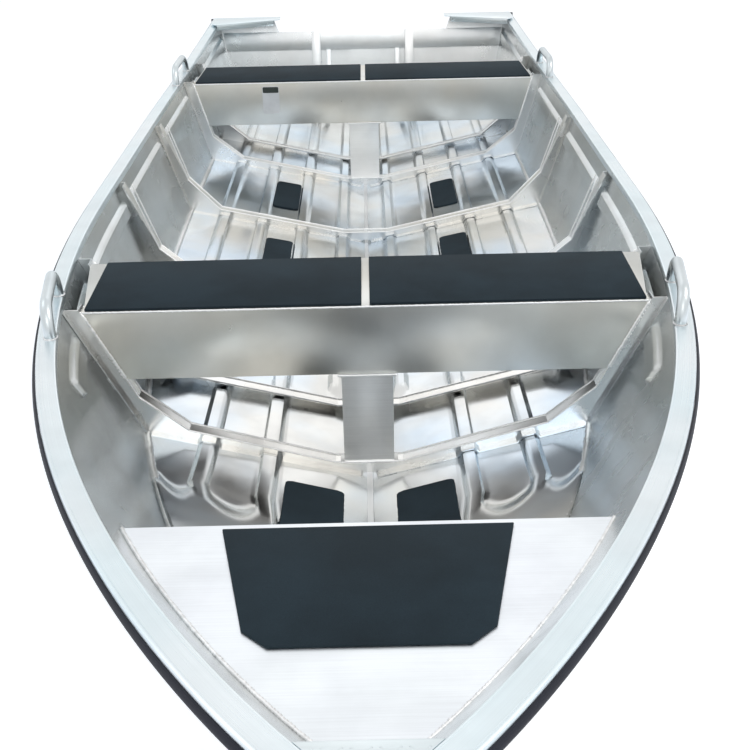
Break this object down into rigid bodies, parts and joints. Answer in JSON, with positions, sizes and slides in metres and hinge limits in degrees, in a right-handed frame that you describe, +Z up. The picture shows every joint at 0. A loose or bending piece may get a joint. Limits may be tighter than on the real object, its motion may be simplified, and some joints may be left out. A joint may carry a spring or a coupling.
{
  "type": "open aluminium boat",
  "caption": "Open welded aluminium boat with a pressed and ribbed V bottom, flared sides, box thwarts, foredeck, side handles and a transom for an outboard motor.",
  "frame": {"origin": "on the waterline amidships, on the centre plane", "axes": "+X port, -Y towards the bow, +Y towards the stern, +Z up"},
  "size_m": [1.514, 4.9117, 0.608],
  "materials": {
    "bottom_plate": "bright mill finish",
    "side_plate": "bright mill finish",
    "bar": "ground welds",
    "transom": "brushed, welded",
    "gunwale": "brushed lengthwise",
    "end_cap": "matt",
    "rub_strip": "matt",
    "handle": "satin tube, welded",
    "frame": "brushed, welded",
    "thwart": "brushed across",
    "soft_pad": "matt closed-cell foam, fine grain",
    "deck": "brushed across",
    "tread_plate": "raised tread",
    "plug": "matt"
  },
  "bodies": {
    "root": {"bottom_port": "bottom_plate", "bottom_starboard": "bottom_plate", "side_port": "side_plate", "side_starboard": "side_plate", "keel_bar": "bar", "transom_plate": "transom", "transom_doubler": "transom", "transom_stiffeners": "transom", "corner_plate_port": "gunwale", "corner_plate_starboard": "gunwale", "corner_cap_port": "end_cap", "corner_cap_starboard": "end_cap", "gunwale_port": "gunwale", "gunwale_starboard": "gunwale", "rub_strip_port": "rub_strip", "rub_strip_starboard": "rub_strip", "handle_fore_port": "handle", "handle_fore_starboard": "handle", "handle_aft_port": "handle", "handle_aft_starboard": "handle", "frame_1": "frame", "frame_2": "frame", "frame_3": "frame", "frame_4": "frame", "frame_5": "frame", "frame_6": "frame", "main_thwart": "thwart", "stern_thwart": "thwart", "main_pad_port": "soft_pad", "main_pad_starboard": "soft_pad", "stern_pad_port": "soft_pad", "stern_pad_starboard": "soft_pad", "main_post": "frame", "stern_post": "frame", "foredeck": "deck", "foredeck_pad": "soft_pad", "bow_plate": "tread_plate", "floor_pads_bow": "soft_pad", "floor_pads_mid": "soft_pad", "floor_pads_aft": "soft_pad", "bow_eye": "bar", "drain_plug": "plug"}
  },
  "joints": []
}
